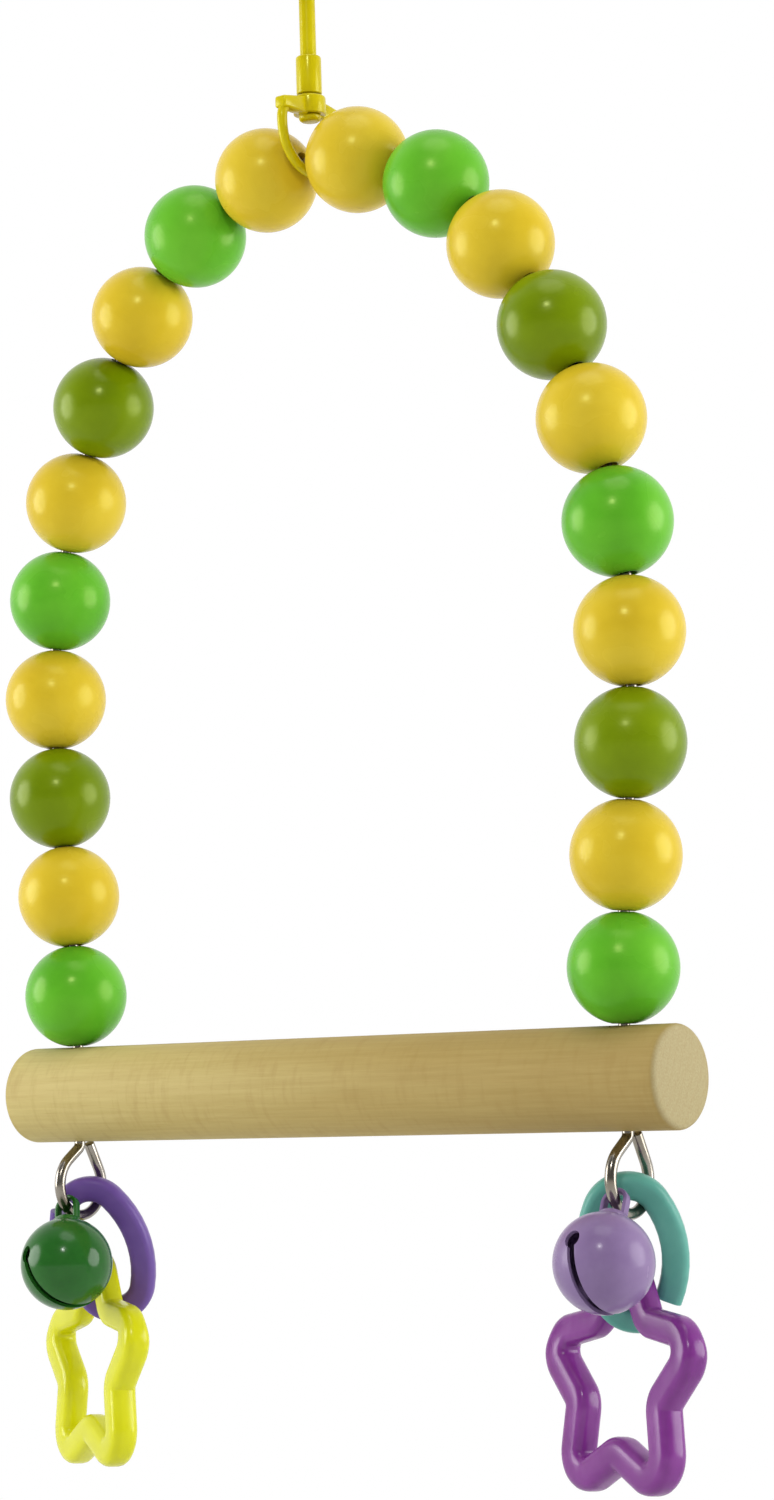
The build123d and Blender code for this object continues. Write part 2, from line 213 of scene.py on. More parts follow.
# pale dowel, the rings run the length and show as arcs on the ends
def dowelWood(name, centre, halfLength):
    wood = Finish(name)
    x, y, z = wood.split()
    wander = wood.drawnNoise(grainScales["wander"], 2.0)
    across = (y + grain["heartFront"]) ** 2.0 + (z - (centre + grain["heartUp"])) ** 2.0
    reach = across ** 0.5 + (wander - 0.5) * grain["wander"]
    rings = wood.node("ShaderNodeMath", {"operation": "SINE"}, {0: reach * (2 * pi / grain["ring"])})
    lines = wood.span(rings, -0.2, 1.0) ** 2.0
    streak = wood.drawnNoise(grainScales["streak"], 4.0, 0.6)
    fibre = wood.drawnNoise(grainScales["fibre"], 2.0)
    patch = wood.drawnNoise(grainScales["patch"], 2.0)
    chatter = wood.drawnNoise(grainScales["chatter"], 2.0)  # faint marks across the grain
    tone = wood.ramp(streak, *grainTones["heart"])
    # paler toward the -x end of the dowel, with a ragged edge
    paleShare = wood.span(x + (patch - 0.5) * grain["paleRagged"], grain["paleTo"], grain["paleFrom"], 0.9, 0.0)
    tone = wood.mix(paleShare, tone, wood.ramp(streak, *grainTones["paleTones"]))
    tone = wood.mix(lines * 0.10, tone, grainTones["ring"])
    tone = wood.mix(wood.span(patch, 0.52, 0.75, 0.0, 0.14), tone, grainTones["patch"])
    tone = wood.mix(wood.span(fibre, 0.56, 0.74, 0.0, 0.18), tone, grainTones["fibre"])
    tone = wood.mix(wood.span(chatter, 0.50, 0.72, 0.0, 0.22), tone, grainTones["chatter"])
    # the sawn ends are paler, with open pores
    pores = wood.noise(grain["pores"], 2.0)
    ends = wood.span(x * x, (halfLength - grain["endFrom"]) ** 2, (halfLength - grain["endTo"]) ** 2)
    sawn = wood.ramp(pores, *grainTones["sawn"])
    sawn = wood.mix(lines * 0.12, sawn, grainTones["sawnRing"])
    tone = wood.mix(ends, tone, sawn)
    height = streak * 0.5 + fibre * 0.6 - lines * 0.3 + pores * ends * 0.5
    wood.set({"Base Color": tone,
              "Roughness": wood.span(streak, 0.3, 0.7, *grain["rough"]),
              "Normal": wood.bump(height, grain["bump"], grain["depth"]),
              "Specular IOR Level": grain["shine"]})
    return wood.material


plate = {"cloud": 160.0, "marks": (700.0, 700.0, 120.0), "rough": (0.14, 0.26), "bump": 0.08,
         "depth": 0.3 * mm}


# bright plated wire with fine drawing marks
def platedWire(name):
    metal = Finish(name)
    cloud = metal.noise(plate["cloud"])
    marks = metal.drawnNoise(plate["marks"])
    tone = metal.ramp(cloud, (0.30, tint(126, 118, 104)), (0.60, tint(158, 152, 142)),
                      (0.80, tint(178, 174, 166)))
    metal.set({"Base Color": tone,
               "Roughness": metal.span(marks, 0.3, 0.7, *plate["rough"]),
               "Metallic": 1.0,
               "Normal": metal.bump(marks, plate["bump"], plate["depth"])})
    return metal.material


coating = {"cloud": 120.0, "grit": 1500.0, "grits": 0.18, "peel": 600.0, "bump": 0.05, "depth": 0.4 * mm}


# enamel over metal, clouded a little and with pale grit in it
def enamel(name, deep, plain, pale, rough=0.22, shine=0.22, glare=whiteGlare):
    coat = Finish(name)
    cloud = coat.noise(coating["cloud"])
    grit = coat.noise(coating["grit"], 2.0)
    tone = coat.ramp(cloud, (0.22, deep), (0.50, plain), (0.82, pale))
    tone = coat.mix(coat.span(grit, 0.64, 0.80, 0.0, coating["grits"]), tone, pale)
    peel = coat.noise(coating["peel"], 2.0)
    coat.set({"Base Color": tone,
              "Roughness": coat.span(cloud, 0.3, 0.7, rough - 0.04, rough + 0.06),
              "Normal": coat.bump(peel, coating["bump"], coating["depth"]),
              "Specular IOR Level": shine,
              "Specular Tint": glare})
    return coat.material


moulding = {"cloud": 90.0, "scuff": 650.0, "bump": 0.03, "depth": 0.4 * mm, "glowScale": 4.0 * mm}


# moulded plastic, scuffed in its gloss, that lets a little light in
def mouldedPlastic(name, deep, plain, pale, rough, shine, glow, radius):
    plastic = Finish(name)
    cloud = plastic.noise(moulding["cloud"])
    scuff = plastic.noise(moulding["scuff"])
    tone = plastic.ramp(cloud, (0.25, deep), (0.50, plain), (0.80, pale))
    plastic.set({"Base Color": tone,
                 "Roughness": plastic.span(scuff, 0.3, 0.7, rough - 0.03, rough + 0.05),
                 "Normal": plastic.bump(cloud, moulding["bump"], moulding["depth"]),
                 "Specular IOR Level": shine,
                 "Subsurface Weight": glow,
                 "Subsurface Radius": radius,
                 "Subsurface Scale": moulding["glowScale"]})
    return plastic.material


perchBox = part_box("perch")
perchMid = (perchBox[0][2] + perchBox[1][2]) / 2
perchHalf = (perchBox[1][0] - perchBox[0][0]) / 2
finishes = {
    "bead_green": beadPaint("bead_green", tint(75, 154, 29), tint(89, 172, 37), tint(105, 184, 46)),
    "bead_yellow": beadPaint("bead_yellow", tint(200, 169, 32), tint(209, 180, 42), tint(216, 190, 58)),
    "bead_olive": beadPaint("bead_olive", tint(96, 120, 1), tint(110, 134, 2), tint(124, 146, 6)),
    "perch_wood": dowelWood("perch_wood", perchMid, perchHalf),
    "wire_metal": platedWire("wire_metal"),
    "hook_paint": enamel("hook_paint", tint(184, 167, 1), tint(196, 180, 3), tint(205, 191, 12),
                         rough=0.20, shine=0.40, glare=warmGlare),
    "bell_green": enamel("bell_green", tint(26, 84, 24), tint(34, 94, 30), tint(44, 104, 38),
                         rough=0.16, shine=0.28),
    "bell_lavender": enamel("bell_lavender", tint(121, 98, 140), tint(130, 108, 149), tint(142, 120, 160)),
    "pea_metal": platedWire("pea_metal"),
    "link_purple": mouldedPlastic("link_purple", tint(92, 64, 136), tint(102, 74, 146), tint(116, 88, 158),
                                  rough=0.34, shine=0.25, glow=0.12, radius=(0.5, 0.3, 0.8)),
    "link_teal": mouldedPlastic("link_teal", tint(78, 144, 130), tint(90, 158, 144), tint(106, 172, 158),
                                rough=0.34, shine=0.25, glow=0.15, radius=(0.3, 0.7, 0.6)),
    "star_yellow": mouldedPlastic("star_yellow", tint(200, 200, 6), tint(206, 206, 12), tint(212, 212, 32),
                                  rough=0.22, shine=0.32, glow=0.30, radius=(0.9, 0.9, 0.3)),
    "star_purple": mouldedPlastic("star_purple", tint(110, 40, 120), tint(121, 48, 131), tint(136, 68, 145),
                                  rough=0.22, shine=0.36, glow=0.25, radius=(0.8, 0.35, 0.9)),
}
print("finishes made:", len(finishes))


def asObject(bm, name):
    mesh = bpy.data.meshes.new(name)
    bm.to_mesh(mesh)
    bm.free()
    piece = bpy.data.objects.new(name, mesh)
    bpy.context.scene.collection.objects.link(piece)
    return piece


# a shape that is no piece: a cutter or the floor
def loose(bm, name):
    bmesh.ops.recalc_face_normals(bm, faces=bm.faces)
    return asObject(bm, name)


def shadeSmooth(bm):
    for face in bm.faces:
        face.smooth = True


# a piece moves with its body and stands for its node
def carry(piece, body, node):
    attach(piece, body)
    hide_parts(node)


# turn a closed bmesh into a finished piece
def settle(bm, name, body, node, slot, sharp=40.0):
    bmesh.ops.remove_doubles(bm, verts=bm.verts, dist=touch["weld"])
    bmesh.ops.recalc_face_normals(bm, faces=bm.faces)
    shadeSmooth(bm)
    piece = asObject(bm, name)
    piece.data.set_sharp_from_angle(angle=radians(sharp))
    piece.data.materials.append(finishes[slot])
    carry(piece, body, node)
    return piece


# round edges off, or corners
def eased(bm, geom, size, segments, affect="EDGES"):
    bmesh.ops.bevel(bm, geom=geom, offset=size, offset_type="OFFSET", affect=affect, segments=segments,
                    profile=0.5, material=-1)


def edgesOf(verts):
    return list(dict.fromkeys(edge for vert in verts for edge in vert.link_edges))


def freshEdges(geom):
    verts = [g for g in geom if isinstance(g, bmesh.types.BMVert)]
    known = set(verts)
    edges = [g for g in geom if isinstance(g, bmesh.types.BMEdge) and all(v in known for v in g.verts)]
    return verts, edges


# draw a loop of edges along straight runs and bends, a positive bend turns toward side
# and fine is the angle of one step in a bend
def drawOut(bm, edges, point, heading, side, moves, fine):
    point = Vector(point)
    heading = Vector(heading)
    side = Vector(side)
    for move in moves:
        if len(move) == 1:
            verts, edges = freshEdges(bmesh.ops.extrude_edge_only(bm, edges=edges)["geom"])
            bmesh.ops.translate(bm, verts=verts, vec=heading * move[0])
            point = point + heading * move[0]
            continue
        radius, turn = move[0], radians(abs(move[1]))
        inner = side if move[1] > 0 else -side
        centre = point + inner * radius
        axis = heading.cross(inner)
        verts = list(dict.fromkeys(v for e in edges for v in e.verts))
        steps = max(2, round(abs(move[1]) / fine))
        got = bmesh.ops.spin(bm, geom=verts + edges, cent=centre, axis=axis, angle=turn, steps=steps)
        verts, edges = freshEdges(got["geom_last"])
        swing = Matrix.Rotation(turn, 3, axis)
        point = centre + swing @ (point - centre)
        heading = swing @ heading
        side = swing @ side
    return edges, point, heading


# the place of a section: its own z looks ahead and its x to the side
def loopAt(point, heading, side):
    heading = Vector(heading).normalized()
    side = Vector(side).normalized()
    turn = Matrix((side, heading.cross(side), heading)).transposed()
    return Matrix.Translation(Vector(point)) @ turn.to_4x4()


def roundLoop(bm, radius, point, heading, side, segments):
    got = bmesh.ops.create_circle(bm, cap_ends=False, segments=segments, radius=radius,
                                  matrix=loopAt(point, heading, side))
    return edgesOf(got["verts"])


# close a tube's end, with its rim eased
def capEnd(bm, edges, ease=0, segments=3):
    bmesh.ops.edgeloop_fill(bm, edges=edges)
    if ease:
        eased(bm, edges, ease, segments)


# turned part: a cylinder between two heights, its rims eased
def turned(bm, radius, low, high, ease, easeLow, segments=48, spot=(0, 0)):
    place = Matrix.Translation((spot[0], spot[1], (low + high) / 2))
    got = bmesh.ops.create_cone(bm, cap_ends=True, segments=segments, radius1=radius, radius2=radius,
                                depth=high - low, matrix=place)
    rims = edgesOf(got["verts"])
    for height, size in ((high, ease), (low, easeLow)):
        if size:
            ring = [e for e in rims if e.is_valid
                    and all(abs(v.co.z - height) < touch["same"] for v in e.verts)]
            eased(bm, ring, size, segments=4)


# beads: a ball opened at its poles, bridged through the bore, with an eased rim
bead = {"radius": 10.0 * mm, "bore": 1.8 * mm, "rim": 0.25 * mm, "wide": 1.024, "long": 1.006,
        "room": 0.06 * mm, "round": 72, "rows": 40}
beadOrder = ["green", "yellow", "olive", "yellow", "green", "yellow", "olive", "yellow", "green", "yellow"]


# a bead is stretched along the wire until its rims all but meet its neighbours'
def stretchOf(hinge, others):
    reach = bead["bore"] + bead["rim"]
    rimHeight = sqrt(bead["radius"] ** 2 - reach ** 2)
    fits = []
    for other in others:
        apart = (Vector(other["pos_m"]) - Vector(hinge["pos_m"])).length
        half = Vector(other["axis"]).angle(Vector(hinge["axis"])) / 2
        fits.append(((apart - bead["room"]) / 2 - reach * bead["wide"] * sin(half)) / (rimHeight * cos(half)))
    return min(fits)


def makeBead(name, centre, axis, stretch, slot):
    bm = bmesh.new()
    bmesh.ops.create_uvsphere(bm, u_segments=bead["round"], v_segments=bead["rows"], radius=bead["radius"])
    edgeHeight = sqrt(bead["radius"] ** 2 - bead["bore"] ** 2)
    gone = [v for v in bm.verts if abs(v.co.z) > edgeHeight + touch["same"]]
    bmesh.ops.delete(bm, geom=gone, context="VERTS")
    rims = [e for e in bm.edges if e.is_boundary]
    for v in dict.fromkeys(v for e in rims for v in e.verts):
        flat = Vector((v.co.x, v.co.y)).normalized() * bead["bore"]
        v.co = Vector((flat.x, flat.y, edgeHeight if v.co.z > 0 else -edgeHeight))
    bmesh.ops.bridge_loops(bm, edges=rims)
    eased(bm, rims, bead["rim"], segments=3)
    bmesh.ops.scale(bm, verts=bm.verts, vec=(bead["wide"], bead["wide"], stretch))
    along = bm.verts.layers.float.new("along")
    for v in bm.verts:
        v[along] = v.co.z
    turn = Vector(axis).to_track_quat("Z", "Y").to_matrix()
    bmesh.ops.transform(bm, verts=bm.verts, matrix=Matrix.Translation(Vector(centre)) @ turn.to_4x4())
    settle(bm, name + "_paint", name, name, slot, sharp=50.0)


for side in ("left", "right"):
    names = [f"bead_{side}_{count + 1:02d}" for count in range(len(beadOrder))]
    hinges = [joints[name + "_spin"] for name in names]
    for count, colour in enumerate(beadOrder):
        stretch = bead["long"]  # the bead by the eye keeps its room
        if count + 1 < len(hinges):
            stretch = stretchOf(hinges[count], hinges[max(0, count - 1):count] + [hinges[count + 1]])
        makeBead(names[count], hinges[count]["pos_m"], hinges[count]["axis"], stretch, "bead_" + colour)
print("beads strung")

# arch wire: crown, shoulder, drawn-in leg, stem and teardrop loop, mirrored
arch = {"wire": 2.2, "apex": joints["swing"]["pos_m"][2] / mm, "halfWidth": 70.3, "foot": 66.0,
        "shoulder": 126.0, "turn": 40.0, "perch": 19.0, "lead": 0.2, "neck": 1.6, "lean": 55.0, "loop": 6.15,
        "tailSide": 0.4, "tailGap": 0.3, "tipEase": 0.3}


def makeArch():
    bm = bmesh.new()
    a = radians(arch["turn"])
    crown = (arch["halfWidth"] - arch["shoulder"] * (1 - cos(a))) / cos(a)
    perchTop = perchMid / mm + arch["perch"] / 2
    leg = arch["apex"] - crown * (1 - sin(a)) - arch["shoulder"] * sin(a) - perchTop
    pull = arch["halfWidth"] - arch["foot"]
    legRadius = (leg ** 2 + pull ** 2) / (4 * pull)
    legTurn = degrees(2 * atan(pull / leg))
    lean = radians(arch["lean"])
    run = (arch["loop"] * cos(lean) - arch["neck"] * (1 - cos(lean))) / sin(lean)
    fall = arch["lead"] + arch["neck"] * sin(lean) + run * cos(lean) + arch["loop"] * sin(lean)
    tailOut = arch["wire"] + arch["tailSide"]
    tailRise = fall - arch["tailGap"]
    tailFar = sqrt(tailOut ** 2 + tailRise ** 2)
    tail = sqrt(tailFar ** 2 - arch["loop"] ** 2)
    tailTurn = degrees(atan2(tailRise, tailOut) - acos(arch["loop"] / tailFar))
    down = [(crown, 90 - arch["turn"]), (arch["shoulder"], arch["turn"]), (legRadius, legTurn),
            (legRadius, -legTurn)]
    under = [(arch["perch"] + arch["lead"],), (arch["neck"], arch["lean"]), (run,),
             (arch["loop"], -180 - arch["lean"] - tailTurn), (tail,)]
    down = [(length * mm, *turn) for length, *turn in down]
    under = [(length * mm, *turn) for length, *turn in under]
    start = (0, 0, arch["apex"] * mm)
    edges = roundLoop(bm, arch["wire"] / 2 * mm, start, (1, 0, 0), (0, 0, -1), segments=20)
    edges, point, heading = drawOut(bm, edges, start, (1, 0, 0), (0, 0, -1), down, fine=2.5)
    edges, point, heading = drawOut(bm, edges, point, heading, (0, -1, 0), under, fine=6.0)
    capEnd(bm, edges, arch["tipEase"] * mm)
    bmesh.ops.mirror(bm, geom=bm.verts[:] + bm.edges[:] + bm.faces[:], matrix=Matrix.Identity(4),
                     merge_dist=touch["same"], axis="X")
    settle(bm, "arch_wire_bent", "arch", "arch_wire", "wire_metal")


makeArch()
print("arch bent")


# cut the cutters' shapes out of a piece and keep the result as its mesh
def carve(piece, cutters):
    for cutter in cutters:
        cut = piece.modifiers.new("cut", "BOOLEAN")
        cut.operation = "DIFFERENCE"
        cut.solver = "EXACT"
        cut.object = cutter
    bpy.context.view_layer.update()
    done = piece.evaluated_get(bpy.context.evaluated_depsgraph_get())
    mesh = bpy.data.meshes.new_from_object(done)
    piece.modifiers.clear()
    # clear the slivers and the folded flaps that a cut leaves where edges all but meet
    bm = bmesh.new()
    bm.from_mesh(mesh)
    bmesh.ops.remove_doubles(bm, verts=bm.verts, dist=touch["sliver"])
    bmesh.ops.dissolve_degenerate(bm, edges=bm.edges, dist=touch["sliver"])
    bmesh.ops.triangulate(bm, faces=[f for f in bm.faces if len(f.verts) > 4])
    twins = {}
    for face in bm.faces:
        twins.setdefault(frozenset(face.verts), []).append(face)
    flaps = [face for group in twins.values() if len(group) > 1 for face in group]
    bmesh.ops.delete(bm, geom=flaps, context="FACES")
    bm.to_mesh(mesh)
    bm.free()
    piece.data = mesh
    for cutter in cutters:
        bpy.data.objects.remove(cutter)


# perch: dowel with eased ends, drilled for the wire
perch = {"radius": 9.5 * mm, "length": 156.0 * mm, "ease": 1.2 * mm, "hole": 1.3 * mm, "foot": 66.0 * mm,
         "drill": 20.0 * mm}


def makePerch():
    bm = bmesh.new()
    turn = Matrix.Translation((0, 0, perchMid)) @ Matrix.Rotation(radians(90), 4, "Y")
    bmesh.ops.create_cone(bm, cap_ends=True, segments=112, radius1=perch["radius"], radius2=perch["radius"],
                          depth=perch["length"], matrix=turn)
    rims = [e for e in bm.edges if abs(e.verts[0].co.x - e.verts[1].co.x) < touch["same"]]
    eased(bm, rims, perch["ease"], segments=5)
    piece = settle(bm, "perch_dowel", "arch", "perch", "perch_wood", sharp=50.0)
    drills = []
    for way in (-1, 1):
        bm = bmesh.new()
        turned(bm, perch["hole"], perchMid - perch["drill"], perchMid + perch["drill"], 0, 0, segments=32,
               spot=(way * perch["foot"], 0))
        drills.append(loose(bm, "drill"))
    carve(piece, drills)


makePerch()
print("perch drilled")

# hook: question mark of rod, with a domed tip
hook = {"rod": 3.2, "crook": 8.0, "neck": 5.0, "shank": 13.0, "end": 15.0, "seat": 3.0, "domeStep": 15,
        "barrel": 7.6, "wall": 0.9, "barrelEase": 0.5, "barrelLowEase": 0.25}
crookZ = -(hook["crook"] - hook["rod"] / 2)
neckZ = crookZ - sqrt(hook["crook"] ** 2 + 2 * hook["neck"] * hook["crook"])
barrelTop = neckZ - hook["shank"]
barrelLow = barrelTop - hook["barrel"]


def makeHook():
    bm = bmesh.new()
    bend = degrees(atan2(crookZ - neckZ, hook["neck"]))
    moves = [((hook["shank"] + hook["seat"]) * mm,), (hook["neck"] * mm, bend),
             (hook["crook"] * mm, -(180 + bend + hook["end"]))]
    start = (0, 0, (barrelTop - hook["seat"]) * mm)
    radius = hook["rod"] / 2 * mm
    bottom = roundLoop(bm, radius, start, (0, 0, 1), (1, 0, 0), segments=32)
    edges, point, heading = drawOut(bm, bottom, start, (0, 0, 1), (-1, 0, 0), moves, fine=4.0)
    # the tip is a dome: shrinking rings pulled forward
    for lift in range(hook["domeStep"], 90, hook["domeStep"]):
        verts, edges = freshEdges(bmesh.ops.extrude_edge_only(bm, edges=edges)["geom"])
        this, last = radians(lift), radians(lift - hook["domeStep"])
        narrow = cos(this) / cos(last)
        middle = sum((v.co for v in verts), Vector()) / len(verts)
        bmesh.ops.scale(bm, verts=verts, vec=(narrow, narrow, narrow), space=Matrix.Translation(-middle))
        bmesh.ops.translate(bm, verts=verts, vec=heading * radius * (sin(this) - sin(last)))
    capEnd(bm, edges)
    capEnd(bm, bottom)
    settle(bm, "hook_rod", "hook", "hook", "hook_paint")

    bm = bmesh.new()
    turned(bm, (hook["rod"] / 2 + hook["wall"]) * mm, barrelLow * mm, barrelTop * mm,
           hook["barrelEase"] * mm, hook["barrelLowEase"] * mm)
    settle(bm, "barrel_sleeve", "hook", "swivel_barrel", "hook_paint")


makeHook()

# swivel pin and the eye that turns on it
eye = {"pin": 2.2, "pinDeep": 3.0, "pinEase": 0.15, "gap": 0.4, "boss": 3.7, "bossWall": 2.0, "bossEase": 0.6,
       "bossLowEase": 0.15, "run": 0.08, "head": 1.2, "headLap": 0.2, "headEase": 0.1, "headDome": 0.85,
       "band": 2.0, "half": 8.75, "corner": 3.0, "straight": 0.85}
# its shoulders: reach and thick are in bands, root in the boss's radius, the rest in mm
shoulder = {"reach": 0.35, "root": 0.55, "thick": 1.3, "ease": 0.5, "step": 0.4, "rise": 1.0, "sink": 1.3}
bossTop = barrelLow - eye["gap"]
bossLow = bossTop - eye["boss"]
eyeBar = bossLow + eye["band"] / 2


def makeEye():
    bm = bmesh.new()
    headTop = bossLow - eye["gap"] / 2
    turned(bm, eye["pin"] / 2 * mm, (headTop - eye["headLap"]) * mm, (barrelLow + eye["pinDeep"]) * mm,
           eye["pinEase"] * mm, 0, segments=32)
    turned(bm, eye["pin"] * mm, (headTop - eye["head"]) * mm, headTop * mm,
           eye["headEase"] * mm, eye["headDome"] * mm, segments=40)
    settle(bm, "pin_rivet", "hook", "swivel_pin", "hook_paint")

    bossRadius = eye["pin"] / 2 + eye["run"] + eye["bossWall"]
    bm = bmesh.new()
    turned(bm, bossRadius * mm, bossLow * mm, bossTop * mm, eye["bossEase"] * mm, eye["bossLowEase"] * mm)
    topRun = ((eye["half"] - eye["corner"]) * mm,)
    corner = (eye["corner"] * mm, 90)
    sideRun = (eye["straight"] * mm,)
    moves = [topRun, corner, sideRun, (eye["half"] * mm, 180), sideRun, corner, topRun]
    start = (0, 0, eyeBar * mm)
    edges = roundLoop(bm, eye["band"] / 2 * mm, start, (0, -1, 0), (0, 0, -1), segments=24)
    drawOut(bm, edges, start, (0, -1, 0), (0, 0, -1), moves, fine=5.0)
    bmesh.ops.remove_doubles(bm, verts=bm.verts, dist=touch["same"])
    # sloping shoulders from the boss to the corners of the ring
    tip = eye["half"] + eye["band"] * shoulder["reach"]
    for way in (-1, 1):
        got = bmesh.ops.create_cube(bm, size=1.0)
        for v in got["verts"]:
            outer = v.co.y * way > 0
            y = way * (tip if outer else bossRadius * shoulder["root"])
            z = eyeBar - shoulder["sink"]
            if v.co.z > 0:
                z = eyeBar + shoulder["rise"] if outer else bossTop - shoulder["step"]
            v.co = Vector((v.co.x * eye["band"] * shoulder["thick"], y, z)) * mm
        eased(bm, edgesOf(got["verts"]), shoulder["ease"] * mm, segments=3)
    settle(bm, "eye_ring", "eye", "swivel_eye", "hook_paint")


makeEye()
print("hook and swivel made")

# hanging sets: how each link, star and bell rests under its end of the perch
hanging = {
    "left": {"linkYaw": 30.45, "linkLean": 12.97, "linkRoll": -7.28, "linkSlack": 1.08, "cutTurn": 0.0,
             "starYaw": -25.97, "starLean": -3.02, "starRoll": -2.61, "starShift": -0.15, "starRise": 10.71,
             "bellWay": -50.81, "bellLean": 30.41, "slotWay": 254.0,
             "link": "link_purple", "star": "star_yellow", "bell": "bell_green"},
    "right": {"linkYaw": 34.23, "linkLean": 18.69, "linkRoll": 2.85, "linkSlack": 0.96, "cutTurn": 180.0,
              "starYaw": -20.79, "starLean": -5.1, "starRoll": -1.9, "starShift": -0.15, "starRise": 11.35,
              "bellWay": -76.79, "bellLean": 33.75, "slotWay": 266.0,
              "link": "link_teal", "star": "star_purple", "bell": "bell_lavender"},
}


def turnOf(yaw, lean, roll):
    turn = Matrix.Rotation(radians(yaw), 4, "Z") @ Matrix.Rotation(radians(lean), 4, "X")
    return turn @ Matrix.Rotation(radians(roll), 4, "Y")


# links and stars are drawn flat and then stood up
standUp = Matrix.Rotation(radians(90), 4, "X")


# a softened rectangle, the section of a strand
def strandLoop(bm, wide, thick, ease, point, heading, side):
    shape = loopAt(point, heading, side) @ Matrix.Diagonal((wide, thick, 1, 1))
    got = bmesh.ops.create_grid(bm, x_segments=1, y_segments=1, size=0.5, matrix=shape)
    eased(bm, got["verts"], ease, segments=4, affect="VERTICES")
    return bm.edges[:]


# open oval link, drawn from one cut end round to the other
link = {"halfWidth": 7.6, "halfHeight": 12.8, "end": 5.9, "strand": 5.0, "thick": 4.0, "ease": 1.5,
        "cut": 4.5, "cutAngle": 50.0, "cutEase": 0.25}
linkRise = link["halfHeight"] - link["end"]
linkSide = (linkRise ** 2 / (link["halfWidth"] - link["end"]) + link["end"] + link["halfWidth"]) / 2
linkBreak = degrees(atan2(linkRise, linkSide - link["halfWidth"]))


def makeLink(side, place):
    bm = bmesh.new()
    gap = degrees(atan(link["cut"] / 2 / link["end"]))
    cutAt = 90 + link["cutAngle"]
    begin = radians(cutAt + gap)
    point = Vector((link["end"] * cos(begin), linkRise + link["end"] * sin(begin), 0)) * mm
    heading = Vector((-sin(begin), cos(begin), 0))
    inward = Vector((-cos(begin), -sin(begin), 0))
    edges = strandLoop(bm, link["strand"] * mm, link["thick"] * mm, link["ease"] * mm, point, heading, inward)
    moves = [(link["end"] * mm, 180 - linkBreak - cutAt - gap),
             (linkSide * mm, 2 * linkBreak),
             (link["end"] * mm, 180 - 2 * linkBreak),
             (linkSide * mm, 2 * linkBreak),
             (link["end"] * mm, cutAt - gap - linkBreak)]
    moves = [move for move in moves if move[1] > 0.01]
    edges, point, heading = drawOut(bm, edges, point, heading, inward, moves, fine=6.0)
    capEnd(bm, edges, link["cutEase"] * mm, segments=2)
    turn = Matrix.Rotation(radians(hanging[side]["cutTurn"]), 4, "Z")
    bmesh.ops.transform(bm, verts=bm.verts, matrix=place @ standUp @ turn)
    name = f"link_{side}"
    settle(bm, name + "_moulded", name, name, hanging[side]["link"], sharp=45.0)


# closed star: round tips and notches joined by straight runs
star = {"points": 5, "tip": 16.0, "tipRound": 4.1, "notch": 13.2, "notchRound": 3.4,
        "strand": 5.4, "thick": 4.6, "ease": 1.5, "swell": 0.45, "swellTop": 9.0, "swellFade": 5.0}


def makeStar(side, place):
    bm = bmesh.new()
    far = star["notch"] + star["notchRound"]
    step = 180 / star["points"]
    apart = sqrt(star["tip"] ** 2 + far ** 2 - 2 * star["tip"] * far * cos(radians(step)))
    run = sqrt(apart ** 2 - (star["tipRound"] + star["notchRound"]) ** 2)
    # half the turn at each tip, from the triangle between a tip's and a notch's centres
    atTip = acos((star["tip"] ** 2 + apart ** 2 - far ** 2) / (2 * star["tip"] * apart))
    across = acos((star["tipRound"] + star["notchRound"]) / apart)
    tipHalf = degrees(pi - atTip - across)
    halfTip = (star["tipRound"] * mm, tipHalf)
    wholeTip = (star["tipRound"] * mm, 2 * tipHalf)
    notch = (star["notchRound"] * mm, -2 * (tipHalf - step))
    moves = [halfTip]
    for tip in range(star["points"]):
        moves += [(run * mm,), notch, (run * mm,), wholeTip]
    moves[-1] = halfTip
    point = Vector((0, star["tip"] + star["tipRound"], 0)) * mm
    heading, inward = (-1, 0, 0), (0, -1, 0)
    edges = strandLoop(bm, star["strand"] * mm, star["thick"] * mm, star["ease"] * mm, point, heading, inward)
    bmesh.ops.delete(bm, geom=bm.faces[:], context="FACES_ONLY")
    drawOut(bm, edges, point, heading, inward, moves, fine=8.0)
    bmesh.ops.remove_doubles(bm, verts=bm.verts, dist=touch["seam"])
    # the strand swells away from the lobe that hangs in the link
    bmesh.ops.recalc_face_normals(bm, faces=bm.faces)
    bm.normal_update()
    for vert in bm.verts:
        share = min(1.0, max(0.0, (star["swellTop"] - vert.co.y / mm) / star["swellFade"]))
        vert.co += vert.normal * star["swell"] * mm * share * share * (3 - 2 * share)
    bmesh.ops.transform(bm, verts=bm.verts, matrix=place @ standUp)
    name = f"star_{side}"
    settle(bm, name + "_moulded", name, name, hanging[side]["star"], sharp=60.0)


# jingle bell: hollow ball with a slot that ends in two round holes, and a strap through its top
bell = {"radius": 9.1, "wall": 0.7, "slot": 1.6, "hole": 3.2, "drop": 12.5, "sharp": 35.0,
        "strapThick": 0.8, "strapWidth": 1.6, "strapHalf": 1.9, "strapGap": 0.7, "strapEase": 0.25,
        "strapSink": 0.4, "crownWide": 3.6, "crownNarrow": 2.5, "crownTall": 0.9, "crownSink": 0.15,
        "crownEase": 0.7}


